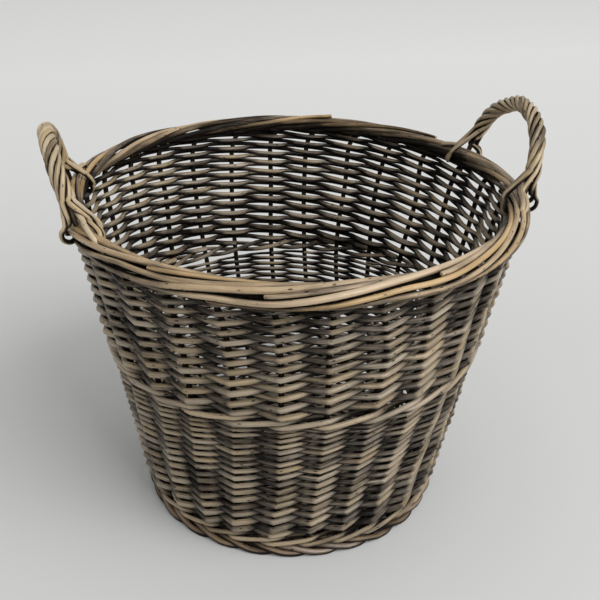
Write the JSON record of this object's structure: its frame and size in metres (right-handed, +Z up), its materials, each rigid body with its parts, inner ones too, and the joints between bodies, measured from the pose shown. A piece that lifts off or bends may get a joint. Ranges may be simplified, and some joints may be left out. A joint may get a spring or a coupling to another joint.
{
  "type": "woven laundry basket",
  "caption": "Round tapered willow basket woven over upright stakes, with a waist wale, a rolled rod border, a foot border and twisted rod handles on opposite sides.",
  "frame": {"origin": "centre of the basket on the floor, under its foot", "axes": "+Z up along the basket's axis; the two handles stand at +X and -X"},
  "size_m": [0.5058, 0.4752, 0.4328],
  "materials": {
    "rim_willow": "satin, tan, lightly washed",
    "washed_willow": "satin, grey-brown antique wash",
    "wale_willow": "satin, light tan",
    "foot_willow": "satin, russet brown",
    "handle_willow": "satin, worn tan",
    "base_willow": "satin, dark brown wash"
  },
  "bodies": {
    "root": {"base_stick_1": "base_willow", "base_stick_2": "base_willow", "base_stick_3": "base_willow", "base_stick_4": "base_willow", "base_stick_5": "base_willow", "base_stick_6": "base_willow", "base_stick_7": "base_willow", "base_weaving_rods": "base_willow", "foot_border_rods": "foot_willow", "left_handle_bow": "handle_willow", "left_handle_strands": "handle_willow", "lower_siding_rods": "washed_willow", "right_handle_bow": "handle_willow", "right_handle_strands": "handle_willow", "side_stake_01": "rim_willow", "side_stake_02": "rim_willow", "side_stake_03": "rim_willow", "side_stake_04": "rim_willow", "side_stake_05": "rim_willow", "side_stake_06": "rim_willow", "side_stake_07": "rim_willow", "side_stake_08": "rim_willow", "side_stake_09": "rim_willow", "side_stake_10": "rim_willow", "side_stake_11": "rim_willow", "side_stake_12": "rim_willow", "side_stake_13": "rim_willow", "side_stake_14": "rim_willow", "side_stake_15": "rim_willow", "side_stake_16": "rim_willow", "side_stake_17": "rim_willow", "side_stake_18": "rim_willow", "side_stake_19": "rim_willow", "side_stake_20": "rim_willow", "side_stake_21": "rim_willow", "side_stake_22": "rim_willow", "side_stake_23": "rim_willow", "side_stake_24": "rim_willow", "side_stake_25": "rim_willow", "side_stake_26": "rim_willow", "side_stake_27": "rim_willow", "side_stake_28": "rim_willow", "upper_siding_rods": "washed_willow", "upsett_wale_rods": "wale_willow", "waist_wale_rods": "wale_willow"}
  },
  "joints": []
}
